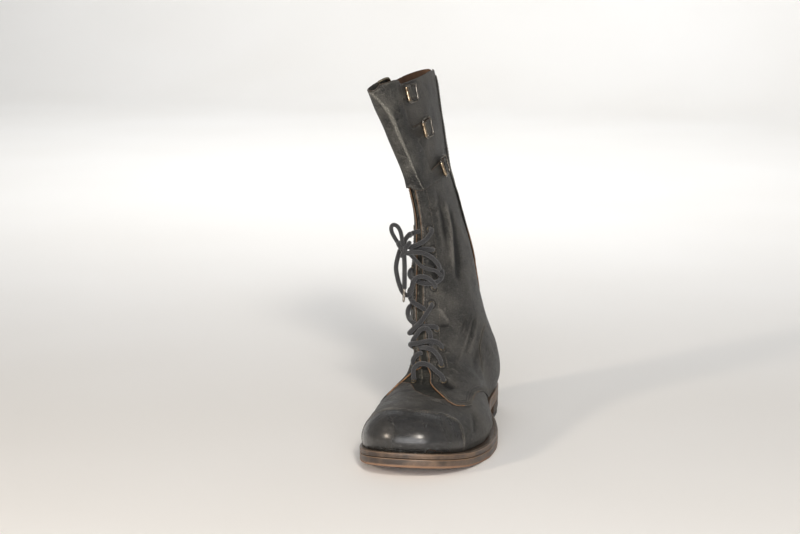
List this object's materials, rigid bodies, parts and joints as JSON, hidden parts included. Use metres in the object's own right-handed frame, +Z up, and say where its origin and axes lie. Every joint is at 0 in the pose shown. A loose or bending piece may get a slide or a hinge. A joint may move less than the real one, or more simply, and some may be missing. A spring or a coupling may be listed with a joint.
{
  "type": "motorcycle boot",
  "caption": "High lace-up leather motorcycle boot for the left foot, with a toe cap, a leg flap closed by roller buckles, a thick leather sole and a stacked heel.",
  "frame": {"origin": "the middle of the heel's bottom face, on the ground", "axes": "+Z up the boot, toe towards -Y, the outer side with the buckles towards +X"},
  "size_m": [0.1379, 0.2965, 0.3427],
  "materials": {
    "black_leather": "worn black leather, creased, with a low sheen",
    "toe_cap_leather": "polished black leather, worn grey-brown",
    "insole_leather": "matte brown leather",
    "sole_leather": "dark dressed sole leather, brown where it is worn",
    "heel_rubber": "matte black rubber",
    "lace_cloth": "round braided black cord",
    "worn_brass": "worn, dull brass",
    "dull_steel": "dull nickelled steel wire"
  },
  "bodies": {
    "root": {"backstay": "black_leather", "buckle_1_chape": "black_leather", "buckle_1_frame": "dull_steel", "buckle_1_roller": "worn_brass", "buckle_2_chape": "black_leather", "buckle_2_frame": "dull_steel", "buckle_2_roller": "worn_brass", "buckle_3_chape": "black_leather", "buckle_3_frame": "dull_steel", "buckle_3_roller": "worn_brass", "eyelet_inner_1": "worn_brass", "eyelet_inner_2": "worn_brass", "eyelet_inner_3": "worn_brass", "eyelet_inner_4": "worn_brass", "eyelet_inner_5": "worn_brass", "eyelet_inner_6": "worn_brass", "eyelet_inner_7": "worn_brass", "eyelet_inner_8": "worn_brass", "eyelet_inner_9": "worn_brass", "eyelet_outer_1": "worn_brass", "eyelet_outer_2": "worn_brass", "eyelet_outer_3": "worn_brass", "eyelet_outer_4": "worn_brass", "eyelet_outer_5": "worn_brass", "eyelet_outer_6": "worn_brass", "eyelet_outer_7": "worn_brass", "eyelet_outer_8": "worn_brass", "eyelet_outer_9": "worn_brass", "heel_stack": "sole_leather", "heel_top_piece": "heel_rubber", "insole": "insole_leather", "lace_aglet": "dull_steel", "lace_bar": "lace_cloth", "lace_crossing_2_3": "lace_cloth", "lace_crossing_4_5": "lace_cloth", "lace_end": "lace_cloth", "lace_knot": "lace_cloth", "lace_loop": "lace_cloth", "lace_run": "lace_cloth", "lace_slack": "lace_cloth", "leg_flap": "black_leather", "outsole": "sole_leather", "toe_cap": "toe_cap_leather", "tongue": "black_leather", "upper": "black_leather", "welt": "sole_leather"}
  },
  "joints": []
}
